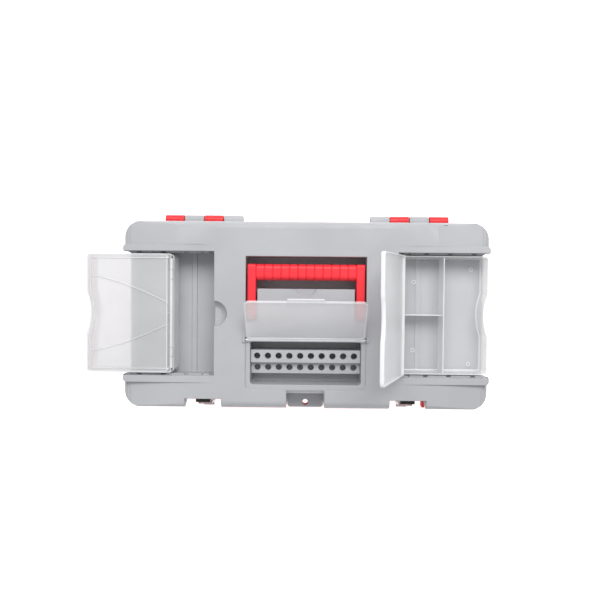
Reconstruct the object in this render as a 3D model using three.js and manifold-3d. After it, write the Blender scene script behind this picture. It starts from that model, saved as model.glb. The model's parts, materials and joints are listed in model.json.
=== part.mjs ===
// A 22 inch plastic toolbox: a tapered bin with a lift-out tote tray, and a hinged lid that holds a fold-flat
// handle, a rack for driver bits under a clear cover, and two clear organizers that slide out at the sides.
// Millimetres. +X right, +Y to the hinges, +Z up. The origin is the centre of the bin's flat bottom.

import * as THREE from 'three';
import { mergeVertices } from 'three/addons/utils/BufferGeometryUtils.js';
import Module from 'manifold-3d';

const wasm = await Module();
wasm.setup();

// ---------------------------------------------------------------- driving dimensions

const GAP = 0.3;
// How far a cut runs past the face it opens, and how far an inner wall reaches into the skin above it.
const PAST = 5;
const SKIN_OVERLAP = 2;

const LID = { length: 550, depth: 280, corner: 30, fillet: 12, wall: 3, top: 276, crownDrop: 8, flatHalf: 130 };
const BIN = { height: 204.7, topLength: 536, topDepth: 266, bottomScale: 0.93, corner: 28, wall: 3, floor: 4 };
const RIM = { length: 546, depth: 274, thickness: 8, corner: 29 };
const GUSSET = { centres: [-90, -50, 50, 90], half: 1.5, drop: 60, root: -122 };
const PART_Z = 205;

const HINGE = { y: 148, z: 210, radius: 7, pinRadius: 2.6, boreRadius: 3, pitch: 31, length: 30, outer: 223.5,
  webDrop: 12 };

const BAY = { inner: 137, y: 1.5, halfWidth: 93, floor: 228, frame: 10, wall: 3 };
const BAY_RAIL = { overlap: 20, endGap: 2, corner: 5, height: 22 };
const RIDGE = { low: 170, high: 178, rise: 2 };
const DISH = { radius: 20, rise: 5, depth: 12, shellReach: 24, shellHalf: 23 };

const WELL = { halfLength: 90, rear: 87.6, gripFront: 39.5, armFront: -11, floor: 232, armFloor: 247, wall: 3 };
const ISLAND = { halfLength: 72.5, top: 273.5, scoopRadius: 17, scoopInset: 6 };
const HANDLE = { pivotY: 1.8, pivotZ: 261.5, armInner: 75, armOuter: 88, armHeight: 13, tail: 10.5,
  chamfer: 4 };
const GRIP = { front: 52, rear: 76.6, top: 271.5, bottom: 249.5, corner: 7, ribs: 12, ribPitch: 12.5,
  ribDepth: 1.2, ribHalf: 0.6 };
const HANDLE_PIN = { radius: 3, boreRadius: 3.4, x: 81.75, length: 25, boreLength: 28 };

const BIT_BAY = { halfLength: 83, rear: -39, front: -104, floor: 234, wall: 3, corner: 5 };
const BIT_LIP = { halfLength: 90, rear: -33, front: -112, corner: 9, floor: 272.5 };
const RACK = { rear: -52.5, step: -71.7, front: -89, highTop: 266, lowTop: 257, highRow: -61.6, lowRow: -79.7 };
const SOCKET = { radius: 4.8, pitch: 16.2, perRow: 10, highDepth: 22, lowDepth: 15 };

const COVER = { halfLength: 88.5, reach: 74, thickness: 2, rim: 4, hingeY: -36.5, hingeZ: 276, openDeg: 143 };
const COVER_TAB = { halfLength: 27, reach: 4, root: 8, corner: 3 };
const COVER_PLATE = { drop: 1.5, corner: 8, rimInset: 1, rimWidth: 2, rimRoot: 3 };
const COVER_LUG = { x: 90.5, width: 3.5, half: 4, rise: 3 };
const COVER_PIN = { radius: 1.3, boreRadius: 1.6, barrel: 2.8, halfLength: 92 };

const BOX = { inner: 142, length: 130.5, y: 1.5, halfWidth: 89, bottom: 230.5, top: 268, wall: 1.8, corner: 6 };
const BOX_DENT = { halfChord: 32, depth: 6 };
const DIVIDER = { across: 206.4, thickness: 1.8, drop: 1.5, crossDrop: 4 };
const BOX_LID = { plateLow: 272, plateTop: 274.2, rimLow: 268.4, rimWidth: 2, rimStart: 6, openDeg: 111.5 };
const BOX_HINGE = { x: 145.2, z: 272, barrel: 2.3, pinRadius: 1.1, boreRadius: 1.4, lugY: 58, lugHalf: 7,
  pinHalf: 82, room: 6 };
const LEFT_SLIDE_OUT = 56;

const NOTCH = { inner: 126, outer: 181, outerFoot: 190, slopeTop: 262, wallY: -126 };
const LATCH_X = 163;
const PAD = { halfWidth: 18, front: -137, rear: -124, low: 138, high: 196 };
const LATCH = { pivotY: -145, pivotZ: 188, sheet: 1.5, leverHalf: 11.5, leverLow: 151, plateOffset: 3.4 };
const BRACKET = { half: 13, foot: 6, head: 1, corner: 3 };
const LEVER = { topRise: 3.4, lipHalf: 8.75, lipStep: 6, lipReach: 9.5, cheekRear: 2.6 };
const LATCH_EAR = { x: 8.9, radius: 2.8, pinRadius: 1.25, boreRadius: 1.5 };
const BAIL = { drop: 11, reach: 38.5, halfWidth: 13.8, wire: 1.1, boreRadius: 1.4, pivotEnd: 4, pivotTurn: 1.5,
  bend: 3, steps: 38 };
const KEEPER = { halfWidth: 11.6, low: 206.5, high: 213.2, front: -143, plateHigh: 232, sheet: 2, corner: 2 };
const RIVET = { radius: 2.2, head: 1, highZ: 180, lowZ: 152, keeperZ: 223 };
const GUARD = { thickness: 4.5, low: 190, front: -150, rear: -130, leftX: -131.5, rightX: 187 };

const PADLOCK = { halfWidth: 28.5, wallTop: -112, wallLow: -119, slopeTop: 269, slopeLow: 258 };
const TAB = { lidHalf: 28.5, binHalf: 26.5, front: -149, binRear: -128, corner: 5, thickness: 8 };
const TAB_HOLE = { y: -141, radius: 4.6 };

const TOTE = { halfLength: 250, halfDepth: 112, low: 128, high: 199, wall: 2.5, corner: 14, flange: 7 };
const TOTE_GRIP = { halfLength: 62, top: 217, slotHalf: 46, slotLow: 182, slotHigh: 204, slotCorner: 9,
  thickness: 6, foot: 20, spineDrop: 12 };
const LEDGE = { top: 194, depth: 8, reach: 24, half: 90, inner: 253 };
const TOTE_LIP = { half: 80, thickness: 3 };

// ---------------------------------------------------------------- materials

function plastic(color, roughness, extra = {}) {
  return new THREE.MeshStandardMaterial({ color, roughness, metalness: 0, ...extra });
}

const GREY = plastic(0xb9bbbf, 0.55);
const RED = plastic(0xe2222c, 0.45);
const CLEAR = plastic(0xe9edf0, 0.3, { transparent: true, opacity: 0.45 });
const DARK = plastic(0x1c1d20, 0.5);
const TOTE_GREY = plastic(0x55585d, 0.6);
const STEEL = new THREE.MeshStandardMaterial({ color: 0xc9cacc, roughness: 0.25, metalness: 1 });

// ---------------------------------------------------------------- solids

function solid(geometry) {
  const bare = geometry.clone();
  bare.deleteAttribute('normal');
  bare.deleteAttribute('uv');
  const merged = mergeVertices(bare, 1e-4);
  const vertProperties = new Float32Array(merged.attributes.position.array);
  const triVerts = new Uint32Array(merged.index.array);
  return new wasm.Manifold(new wasm.Mesh({ numProp: 3, vertProperties, triVerts }));
}

function part(name, body, material) {
  const { vertProperties, triVerts } = body.getMesh();
  const geometry = new THREE.BufferGeometry();
  geometry.setAttribute('position', new THREE.BufferAttribute(vertProperties, 3));
  geometry.setIndex(new THREE.BufferAttribute(triVerts, 1));
  geometry.computeVertexNormals();
  const mesh = new THREE.Mesh(geometry, material);
  mesh.name = name;
  return mesh;
}

function union(...bodies) {
  return bodies.reduce((all, body) => all.add(body));
}

function box(x0, x1, y0, y1, z0, z1) {
  const geometry = new THREE.BoxGeometry(x1 - x0, y1 - y0, z1 - z0);
  geometry.translate((x0 + x1) / 2, (y0 + y1) / 2, (z0 + z1) / 2);
  return solid(geometry);
}

// A shape drawn in X and Y, extruded from z0 up to z1.
function slab(shape, z0, z1, curveSegments = 6) {
  const geometry = new THREE.ExtrudeGeometry(shape, { depth: z1 - z0, bevelEnabled: false, curveSegments });
  geometry.translate(0, 0, z0);
  return solid(geometry);
}

// A shape drawn in Y and Z, extruded along X from x0 to x1.
function alongX(shape, x0, x1, curveSegments = 6) {
  const geometry = new THREE.ExtrudeGeometry(shape, { depth: x1 - x0, bevelEnabled: false, curveSegments });
  const turn = new THREE.Matrix4().set(0, 0, 1, x0, 1, 0, 0, 0, 0, 1, 0, 0, 0, 0, 0, 1);
  geometry.applyMatrix4(turn);
  return solid(geometry);
}

// A shape drawn in X and Z, extruded along Y from y0 to y1.
function alongY(shape, y0, y1, curveSegments = 6) {
  const geometry = new THREE.ExtrudeGeometry(shape, { depth: y1 - y0, bevelEnabled: false, curveSegments });
  const turn = new THREE.Matrix4().set(1, 0, 0, 0, 0, 0, -1, y1, 0, 1, 0, 0, 0, 0, 0, 1);
  geometry.applyMatrix4(turn);
  return solid(geometry);
}

// A round bar along one axis ('x', 'y' or 'z'), centred on the point (x, y, z).
function rod(axis, radius, length, x, y, z, sides = 16) {
  const geometry = new THREE.CylinderGeometry(radius, radius, length, sides);
  if (axis === 'x') geometry.rotateZ(Math.PI / 2);
  if (axis === 'z') geometry.rotateX(Math.PI / 2);
  geometry.translate(x, y, z);
  return solid(geometry);
}

function roundedRect(x0, x1, y0, y1, radius) {
  const shape = new THREE.Shape();
  shape.moveTo(x0 + radius, y0);
  shape.lineTo(x1 - radius, y0);
  shape.absarc(x1 - radius, y0 + radius, radius, -Math.PI / 2, 0, false);
  shape.lineTo(x1, y1 - radius);
  shape.absarc(x1 - radius, y1 - radius, radius, 0, Math.PI / 2, false);
  shape.lineTo(x0 + radius, y1);
  shape.absarc(x0 + radius, y1 - radius, radius, Math.PI / 2, Math.PI, false);
  shape.lineTo(x0, y0 + radius);
  shape.absarc(x0 + radius, y0 + radius, radius, Math.PI, Math.PI * 1.5, false);
  return shape;
}

function centredRect(length, depth, radius) {
  return roundedRect(-length / 2, length / 2, -depth / 2, depth / 2, radius);
}

function polygon(points) {
  return new THREE.Shape(points.map(([u, v]) => new THREE.Vector2(u, v)));
}

// Both mirror images of a body about the plane X = 0.
function bothSides(body) {
  return body.add(body.mirror([1, 0, 0]));
}

// ---------------------------------------------------------------- lid

// The outside of the lid: a rounded plan, a crowned front view and a filleted side view, cut by each other.
// inset moves every face inwards, which gives the inside of the shell.
function lidForm(inset) {
  const halfLength = LID.length / 2 - inset;
  const halfDepth = LID.depth / 2 - inset;
  const top = LID.top - inset;
  const fillet = LID.fillet - inset;
  const low = inset > 0 ? PART_Z - 1 : PART_Z;
  const fine = inset > 0 ? 3 : 8;
  const plan = slab(centredRect(halfLength * 2, halfDepth * 2, LID.corner - inset), low, top + PAST, fine);

  const run = LID.length / 2 - LID.flatHalf;
  const crownRadius = (run * run + LID.crownDrop * LID.crownDrop) / (2 * LID.crownDrop);
  const front = new THREE.Shape();
  front.moveTo(-halfLength, low);
  front.lineTo(halfLength, low);
  front.lineTo(halfLength, top - LID.crownDrop - fillet);
  front.absarc(halfLength - fillet, top - LID.crownDrop - fillet, fillet, 0, Math.PI / 2 - 0.1, false);
  const crownSteps = 4;
  const endAngle = Math.asin((halfLength - fillet - LID.flatHalf) / crownRadius);
  for (let i = 0; i <= crownSteps; i++) {
    const angle = endAngle * (1 - i / crownSteps);
    front.lineTo(LID.flatHalf + crownRadius * Math.sin(angle), top - crownRadius * (1 - Math.cos(angle)));
  }
  for (let i = 0; i <= crownSteps; i++) {
    const angle = (endAngle * i) / crownSteps;
    front.lineTo(-LID.flatHalf - crownRadius * Math.sin(angle), top - crownRadius * (1 - Math.cos(angle)));
  }
  front.absarc(-halfLength + fillet, top - LID.crownDrop - fillet, fillet, Math.PI / 2 + 0.1, Math.PI, false);
  front.lineTo(-halfLength, low);

  const side = new THREE.Shape();
  side.moveTo(-halfDepth, low);
  side.lineTo(halfDepth, low);
  side.lineTo(halfDepth, top - fillet);
  side.absarc(halfDepth - fillet, top - fillet, fillet, 0, Math.PI / 2, false);
  side.lineTo(-halfDepth + fillet, top);
  side.absarc(-halfDepth + fillet, top - fillet, fillet, Math.PI / 2, Math.PI, false);
  side.lineTo(-halfDepth, low);

  const crowned = alongY(front, -LID.depth, LID.depth, fine - 2);
  const filleted = alongX(side, -LID.length, LID.length, fine - 2);
  return plan.intersect(crowned).intersect(filleted);
}

// Flat-topped rails beside each bay, which stand up out of the crown towards the lid's ends.
function bayFrames() {
  const end = LID.length / 2 - BAY_RAIL.endGap;
  const rail = BAY.halfWidth + BAY.frame;
  const start = LID.flatHalf - BAY_RAIL.overlap;
  const shape = roundedRect(start, end, BAY.y - rail, BAY.y + rail, BAY_RAIL.corner);
  return bothSides(slab(shape, LID.top - BAY_RAIL.height, LID.top, 4));
}

function bayHollow() {
  const end = LID.length / 2 + PAST;
  const low = BAY.y - BAY.halfWidth;
  const high = BAY.y + BAY.halfWidth;
  const hollow = box(BAY.inner, end, low, high, BAY.floor, LID.top + PAST);
  const ridge = box(RIDGE.low, RIDGE.high, low - 1, high + 1, BAY.floor - 1, BAY.floor + RIDGE.rise);
  return hollow.subtract(ridge);
}

// The finger dish at the inner end of a bay: part of a sphere with a flat floor.
function fingerDish() {
  const dish = new THREE.SphereGeometry(DISH.radius, 24, 14);
  dish.translate(BAY.inner, BAY.y, LID.top + DISH.rise);
  const reach = DISH.radius + 1;
  return solid(dish).intersect(box(BAY.inner - reach, BAY.inner + 1, BAY.y - reach, BAY.y + reach,
    LID.top - DISH.depth, LID.top + PAST));
}

function dishShell() {
  return box(BAY.inner - DISH.shellReach, BAY.inner, BAY.y - DISH.shellHalf, BAY.y + DISH.shellHalf,
    LID.top - DISH.depth - LID.wall, LID.top - SKIN_OVERLAP);
}

function bayShell() {
  const w = BAY.wall;
  const low = BAY.y - BAY.halfWidth - w;
  const high = BAY.y + BAY.halfWidth + w;
  return box(BAY.inner - w, LID.length / 2 - 1, low, high, BAY.floor - w, LID.top - LID.crownDrop - 1);
}

function wellShell() {
  const w = WELL.wall;
  const x = WELL.halfLength + w;
  const grip = box(-x, x, WELL.gripFront - w, WELL.rear + w, WELL.floor - w, LID.top - SKIN_OVERLAP);
  const arms = box(-x, x, WELL.armFront - w, WELL.gripFront, WELL.armFloor - w, LID.top - SKIN_OVERLAP);
  return grip.add(arms);
}

function wellHollow() {
  const x = WELL.halfLength;
  const grip = box(-x, x, WELL.gripFront, WELL.rear, WELL.floor, LID.top + PAST);
  const armSlot = box(ISLAND.halfLength, x, WELL.armFront, WELL.gripFront + 1, WELL.armFloor, LID.top + PAST);
  const islandTop = box(-ISLAND.halfLength - 1, ISLAND.halfLength + 1, BIT_LIP.rear, WELL.gripFront + 1,
    ISLAND.top, LID.top + PAST);
  const scoopDepth = 15;
  const scoopY = WELL.gripFront + ISLAND.scoopInset;
  const scoop = rod('z', ISLAND.scoopRadius, scoopDepth * 2, 0, scoopY, LID.top, 24);
  return union(grip, bothSides(armSlot), islandTop, scoop);
}

function bitBayShell() {
  const w = BIT_BAY.wall;
  const x = BIT_BAY.halfLength + w;
  const lipX = BIT_LIP.halfLength + w;
  const bay = box(-x, x, BIT_BAY.front - w, BIT_BAY.rear + w, BIT_BAY.floor - w, LID.top - SKIN_OVERLAP);
  const lip = box(-lipX, lipX, BIT_LIP.front - w, BIT_LIP.rear, BIT_LIP.floor - w, LID.top - SKIN_OVERLAP);
  return bay.add(lip);
}

function bitBayHollow() {
  const x = BIT_BAY.halfLength;
  const outline = roundedRect(-x, x, BIT_BAY.front, BIT_BAY.rear, BIT_BAY.corner);
  const cavity = slab(outline, BIT_BAY.floor, LID.top + PAST, 3);
  const lip = roundedRect(-BIT_LIP.halfLength, BIT_LIP.halfLength, BIT_LIP.front, BIT_LIP.rear, BIT_LIP.corner);
  const troughFront = BIT_LIP.rear - BIT_LIP.corner - 3;
  const hingeTrough = box(-BIT_LIP.halfLength, BIT_LIP.halfLength, troughFront, BIT_LIP.rear,
    BIT_LIP.floor, LID.top + PAST);
  return union(cavity, slab(lip, BIT_LIP.floor, LID.top + PAST, 4), hingeTrough);
}

// The latch notch seen from the front: its outer side leans outwards towards the foot.
function notchShape(margin, low, high) {
  const { inner, outer, outerFoot, slopeTop } = NOTCH;
  return polygon([[inner - margin, low], [outerFoot + margin, low], [outer + margin, slopeTop],
    [outer + margin, high], [inner - margin, high]]);
}

function latchNotch() {
  return bothSides(alongY(notchShape(0, PART_Z - 2, LID.top + PAST), -LID.depth, NOTCH.wallY));
}

function latchNotchWall() {
  const shape = notchShape(LID.wall, PART_Z, LID.top - LID.wall);
  return bothSides(alongY(shape, -LID.depth / 2 + 1, NOTCH.wallY + LID.wall));
}

function padlockNotch() {
  const { wallTop, wallLow, slopeTop, slopeLow } = PADLOCK;
  const shape = polygon([
    [wallTop, LID.top + PAST], [wallTop, BIT_LIP.floor], [wallTop - 4, slopeTop], [wallLow, slopeLow],
    [wallLow, PART_Z - 2], [-LID.depth, PART_Z - 2], [-LID.depth, LID.top + PAST],
  ]);
  return alongX(shape, -PADLOCK.halfWidth, PADLOCK.halfWidth);
}

function padlockNotchWall() {
  const x = PADLOCK.halfWidth + LID.wall;
  const block = box(-x, x, -LID.depth / 2 + 1, PADLOCK.wallTop + PAST, PART_Z, LID.top - LID.wall);
  const hollow = box(-x - 1, x + 1, PADLOCK.wallLow + LID.wall, 0, PART_Z - 1, PADLOCK.slopeLow - 12);
  return block.subtract(hollow);
}

function padlockTab(z, half, rear) {
  const shape = roundedRect(-half, half, TAB.front, rear, TAB.corner);
  return slab(shape, z, z + TAB.thickness, 4)
    .subtract(rod('z', TAB_HOLE.radius, TAB.thickness * 4, 0, TAB_HOLE.y, z, 20));
}

// One knuckle of the rear hinge with its web; sitsHigh is true for the lid's knuckles.
function knuckle(index, sitsHigh) {
  const x0 = -HINGE.outer + index * HINGE.pitch;
  const x1 = x0 + HINGE.length;
  const barrel = rod('x', HINGE.radius, HINGE.length, (x0 + x1) / 2, HINGE.y, HINGE.z, 20);
  const lidWeb = box(x0, x1, LID.depth / 2 - 2, HINGE.y, PART_Z, HINGE.z + HINGE.radius - 0.2);
  const binWeb = box(x0, x1, BIN.topDepth / 2 - 2, HINGE.y + 3, PART_Z - HINGE.webDrop, PART_Z - GAP);
  return barrel.add(sitsHigh ? lidWeb : binWeb);
}

function hingeBores() {
  const length = HINGE.pitch * 4;
  return bothSides(rod('x', HINGE.boreRadius, length + 20, HINGE.outer - length / 2, HINGE.y, HINGE.z, 16));
}

function coverHingeLugs() {
  const { x, width, half, rise } = COVER_LUG;
  const lug = box(x, x + width, COVER.hingeY - half, COVER.hingeY + half,
    LID.top - LID.wall, COVER.hingeZ + rise);
  return bothSides(lug);
}

function coverPinBore() {
  return rod('x', COVER_PIN.boreRadius, COVER_PIN.halfLength * 2 + 1, 0, COVER.hingeY, COVER.hingeZ, 12);
}

function lidShell() {
  const skin = lidForm(0).add(bayFrames()).subtract(lidForm(LID.wall));
  const inside = lidForm(1);
  const wells = union(bothSides(bayShell()), bothSides(dishShell()), wellShell(), bitBayShell(),
    latchNotchWall(), padlockNotchWall());
  const hollows = union(bothSides(bayHollow()), bothSides(fingerDish()), wellHollow(), bitBayHollow(),
    latchNotch(), padlockNotch());
  const knuckles = bothSides(knuckle(1, true).add(knuckle(3, true)));
  const { boreRadius, x, boreLength } = HANDLE_PIN;
  const pinHoles = bothSides(rod('x', boreRadius, boreLength, x, HANDLE.pivotY, HANDLE.pivotZ, 16));
  const body = skin.add(wells.intersect(inside)).subtract(hollows);
  return union(body, knuckles, padlockTab(PART_Z, TAB.lidHalf, PADLOCK.wallLow + 1), coverHingeLugs())
    .subtract(union(hingeBores(), pinHoles, coverPinBore()));
}

// ---------------------------------------------------------------- bin

// An upright prism whose outline shrinks evenly towards the bottom.
function taperedPrism(length, depth, corner, z0, z1) {
  const geometry = new THREE.ExtrudeGeometry(centredRect(length, depth, corner),
    { depth: z1 - z0, bevelEnabled: false, curveSegments: 6 });
  geometry.translate(0, 0, z0);
  const position = geometry.attributes.position;
  for (let i = 0; i < position.count; i++) {
    const scale = THREE.MathUtils.mapLinear(position.getZ(i), 0, BIN.height, BIN.bottomScale, 1);
    position.setXY(i, position.getX(i) * scale, position.getY(i) * scale);
  }
  return solid(geometry);
}

function binRim() {
  const outline = centredRect(RIM.length, RIM.depth, RIM.corner);
  const flange = slab(outline, BIN.height - RIM.thickness, BIN.height, 6);
  const latchCut = bothSides(box(NOTCH.inner, NOTCH.outerFoot, -RIM.depth, PAD.front + LATCH.sheet,
    BIN.height - RIM.thickness - 1, BIN.height + 1));
  return flange.subtract(latchCut);
}

// Gussets under the rim at the front.
function binRibs() {
  const { centres, half, drop, root } = GUSSET;
  const rimFace = -RIM.depth / 2;
  const rimLow = BIN.height - RIM.thickness;
  const shape = polygon([[root, BIN.height - drop], [root, BIN.height - 2], [rimFace, BIN.height - 2],
    [rimFace, rimLow]]);
  return union(...centres.map((x) => alongX(shape, x - half, x + half)));
}

function latchPads() {
  const x = PAD.halfWidth;
  return bothSides(box(LATCH_X - x, LATCH_X + x, PAD.front, PAD.rear, PAD.low, PAD.high));
}

// A fin under the rim at the right end of each latch notch keeps knocks off the lever.
function latchGuard(x) {
  return box(x, x + GUARD.thickness, GUARD.front, GUARD.rear, GUARD.low, BIN.height);
}

function trayLedges() {
  const { top, depth, reach, half, inner } = LEDGE;
  const wall = BIN.topLength / 2;
  const shape = polygon([[wall, top - reach], [wall, top], [inner, top], [inner, top - depth / 2]]);
  return bothSides(alongY(shape, -half, half));
}

function binBody() {
  const outer = taperedPrism(BIN.topLength, BIN.topDepth, BIN.corner, 0, BIN.height);
  const w = BIN.wall * 2;
  const innerCorner = BIN.corner - BIN.wall;
  const hollow = taperedPrism(BIN.topLength - w, BIN.topDepth - w, innerCorner, BIN.floor, BIN.height + 1);
  const knuckles = bothSides(knuckle(0, false).add(knuckle(2, false)));
  const tab = padlockTab(BIN.height - TAB.thickness, TAB.binHalf, TAB.binRear);
  const guards = latchGuard(GUARD.leftX).add(latchGuard(GUARD.rightX));
  const walls = union(outer, binRim(), binRibs(), latchPads(), knuckles, tab, guards);
  return walls.subtract(hollow).add(trayLedges().intersect(outer)).subtract(hingeBores());
}

// ---------------------------------------------------------------- tote tray

function toteTray() {
  const { halfLength, halfDepth, low, high, wall, corner, flange } = TOTE;
  const outer = slab(centredRect(halfLength * 2, halfDepth * 2, corner), low, high);
  const inside = centredRect((halfLength - wall) * 2, (halfDepth - wall) * 2, corner - wall);
  const hollow = slab(inside, low + wall, high + 1);
  const lipLow = LEDGE.top + GAP;
  const lips = bothSides(box(halfLength - 1, halfLength + flange, -TOTE_LIP.half, TOTE_LIP.half,
    lipLow, lipLow + TOTE_LIP.thickness));
  const g = TOTE_GRIP;
  const spineTop = high - g.spineDrop;
  const spine = box(-halfLength + 1, halfLength - 1, -g.thickness / 2, g.thickness / 2, low + 1, spineTop);
  const foot = g.halfLength + g.foot;
  const archShape = polygon([[-foot, spineTop - 1], [foot, spineTop - 1], [g.halfLength, g.top],
    [-g.halfLength, g.top]]);
  const arch = alongY(archShape, -g.thickness / 2, g.thickness / 2);
  const slotShape = roundedRect(-g.slotHalf, g.slotHalf, g.slotLow, g.slotHigh, g.slotCorner);
  const slot = alongY(slotShape, -g.thickness, g.thickness);
  return union(outer.subtract(hollow), lips, spine, arch).subtract(slot);
}

// ---------------------------------------------------------------- handle

function handleBody() {
  const { pivotY, pivotZ, armInner, armOuter, armHeight, tail, chamfer } = HANDLE;
  const { front, rear, top, bottom, ribs, ribPitch, ribDepth, ribHalf, corner } = GRIP;
  const armTop = pivotZ + armHeight / 2 + 1.5;
  const armShape = new THREE.Shape();
  armShape.moveTo(pivotY, pivotZ - tail + 1);
  armShape.lineTo(rear - chamfer, bottom + 3);
  armShape.lineTo(rear, bottom + chamfer * 2);
  armShape.lineTo(rear, top - chamfer);
  armShape.lineTo(rear - chamfer, top);
  armShape.lineTo(pivotY, armTop);
  armShape.absarc(pivotY, pivotZ, tail - 1, Math.PI / 2, Math.PI * 1.5, false);
  const arm = alongX(armShape, armInner, armOuter, 8);

  const grip = alongX(roundedRect(front, rear, bottom, top, corner), -armInner - 1, armInner + 1, 2);
  const core = roundedRect(front + ribDepth, rear - ribDepth, bottom + ribDepth, top - ribDepth, corner - 1);
  const grooves = [];
  for (let i = 0; i <= ribs; i++) {
    const x = (i - ribs / 2) * ribPitch;
    const ring = box(x - ribHalf, x + ribHalf, front - 2, rear + 2, bottom - 2, top + 2);
    grooves.push(ring.subtract(alongX(core, x - ribHalf - 1, x + ribHalf + 1, 2)));
  }
  const { boreRadius, x, boreLength } = HANDLE_PIN;
  const pinHoles = bothSides(rod('x', boreRadius, boreLength, x, pivotY, pivotZ, 16));
  return union(grip.subtract(union(...grooves)), bothSides(arm)).subtract(pinHoles);
}

function handlePin(side) {
  return rod('x', HANDLE_PIN.radius, HANDLE_PIN.length, side * HANDLE_PIN.x, HANDLE.pivotY, HANDLE.pivotZ, 16);
}

// ---------------------------------------------------------------- bit rack and cover

function bitRack() {
  const x = BIT_BAY.halfLength - 0.5;
  const profile = polygon([[RACK.front, BIT_BAY.floor + GAP], [RACK.rear, BIT_BAY.floor + GAP],
    [RACK.rear, RACK.highTop], [RACK.step, RACK.highTop], [RACK.step, RACK.lowTop], [RACK.front, RACK.lowTop]]);
  const sockets = [];
  for (let i = 0; i < SOCKET.perRow; i++) {
    const at = (i - (SOCKET.perRow - 1) / 2) * SOCKET.pitch;
    sockets.push(rod('z', SOCKET.radius, SOCKET.highDepth * 2, at, RACK.highRow, RACK.highTop, 12));
    sockets.push(rod('z', SOCKET.radius, SOCKET.lowDepth * 2, at, RACK.lowRow, RACK.lowTop, 12));
  }
  return alongX(profile, -x, x).subtract(union(...sockets));
}

// The cover is drawn closed, with its hinge axis on the origin, reaching towards -Y.
function bitCoverBody() {
  const { halfLength: x, reach, thickness, rim } = COVER;
  const { drop, corner, rimInset, rimWidth, rimRoot } = COVER_PLATE;
  const high = thickness - drop;
  const plate = slab(roundedRect(-x, x, -reach, 0, corner), -drop, high, 3);
  const rimOut = roundedRect(-x + rimInset, x - rimInset, -reach + rimInset, -rimRoot, corner - rimInset);
  const room = rimInset + rimWidth;
  const rimIn = roundedRect(-x + room, x - room, -reach + room, -rimRoot - rimWidth, corner - room);
  const edge = slab(rimOut, drop + 0.3 - rim, -1, 3).subtract(slab(rimIn, -rim, 0, 3));
  const tabHalf = COVER_TAB.halfLength;
  const tabFront = -reach - COVER_TAB.reach;
  const tabShape = roundedRect(-tabHalf, tabHalf, tabFront, -reach + COVER_TAB.root, COVER_TAB.corner);
  const tab = slab(tabShape, -drop, high, 3);
  const barrel = rod('x', COVER_PIN.barrel, x * 2, 0, 0, 0, 16);
  return union(plate, edge, tab, barrel).subtract(rod('x', COVER_PIN.boreRadius, x * 4, 0, 0, 0, 12));
}

// ---------------------------------------------------------------- organizers (drawn on the right-hand side)

// Plan outline with the shallow finger dent in the outer end; inset shrinks it evenly.
function boxOutline(inset) {
  const x0 = BOX.inner + inset;
  const x1 = BOX.inner + BOX.length - inset;
  const y0 = BOX.y - BOX.halfWidth + inset;
  const y1 = BOX.y + BOX.halfWidth - inset;
  const r = BOX.corner - inset;
  const { halfChord, depth } = BOX_DENT;
  const dentRadius = (halfChord * halfChord + depth * depth) / (2 * depth) + inset;
  const dentX = x1 + inset - depth + dentRadius - inset;
  const half = Math.acos((dentX - x1) / dentRadius);
  const shape = new THREE.Shape();
  shape.moveTo(x0 + r, y0);
  shape.lineTo(x1 - r, y0);
  shape.absarc(x1 - r, y0 + r, r, -Math.PI / 2, 0, false);
  shape.absarc(dentX, BOX.y, dentRadius, Math.PI + half, Math.PI - half, true);
  shape.lineTo(x1, y1 - r);
  shape.absarc(x1 - r, y1 - r, r, 0, Math.PI / 2, false);
  shape.lineTo(x0 + r, y1);
  shape.absarc(x0 + r, y1 - r, r, Math.PI / 2, Math.PI, false);
  shape.lineTo(x0, y0 + r);
  shape.absarc(x0 + r, y0 + r, r, Math.PI, Math.PI * 1.5, false);
  return shape;
}

function hingeLugs() {
  const { x, z, barrel, lugY, lugHalf } = BOX_HINGE;
  const lugs = [-lugY, lugY].map((y) => {
    const shape = polygon([[BOX.inner, BOX.top - 4], [BOX.inner, z - 1], [x, z + 1], [x + 1, BOX.top - 4]]);
    return alongY(shape, BOX.y + y - lugHalf, BOX.y + y + lugHalf)
      .add(rod('y', barrel, lugHalf * 2, x, BOX.y + y, z, 16));
  });
  return union(...lugs);
}

function organizerTray() {
  const w = BOX.wall;
  const shell = slab(boxOutline(0), BOX.bottom, BOX.top, 4)
    .subtract(slab(boxOutline(w), BOX.bottom + w, BOX.top + 1, 4));
  const dividerTop = BOX.top - DIVIDER.drop;
  const y0 = BOX.y - BOX.halfWidth + 1;
  const y1 = BOX.y + BOX.halfWidth - 1;
  const t = DIVIDER.thickness;
  const lengthwise = box(DIVIDER.across - t / 2, DIVIDER.across + t / 2, y0, y1, BOX.bottom + 1, dividerTop);
  const crosswise = box(BOX.inner + 1, DIVIDER.across, BOX.y - t / 2, BOX.y + t / 2,
    BOX.bottom + 1, dividerTop - DIVIDER.crossDrop);
  const bore = rod('y', BOX_HINGE.boreRadius, BOX.halfWidth * 4, BOX_HINGE.x, BOX.y, BOX_HINGE.z, 12);
  return union(shell, lengthwise, crosswise, hingeLugs()).subtract(bore);
}

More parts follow.
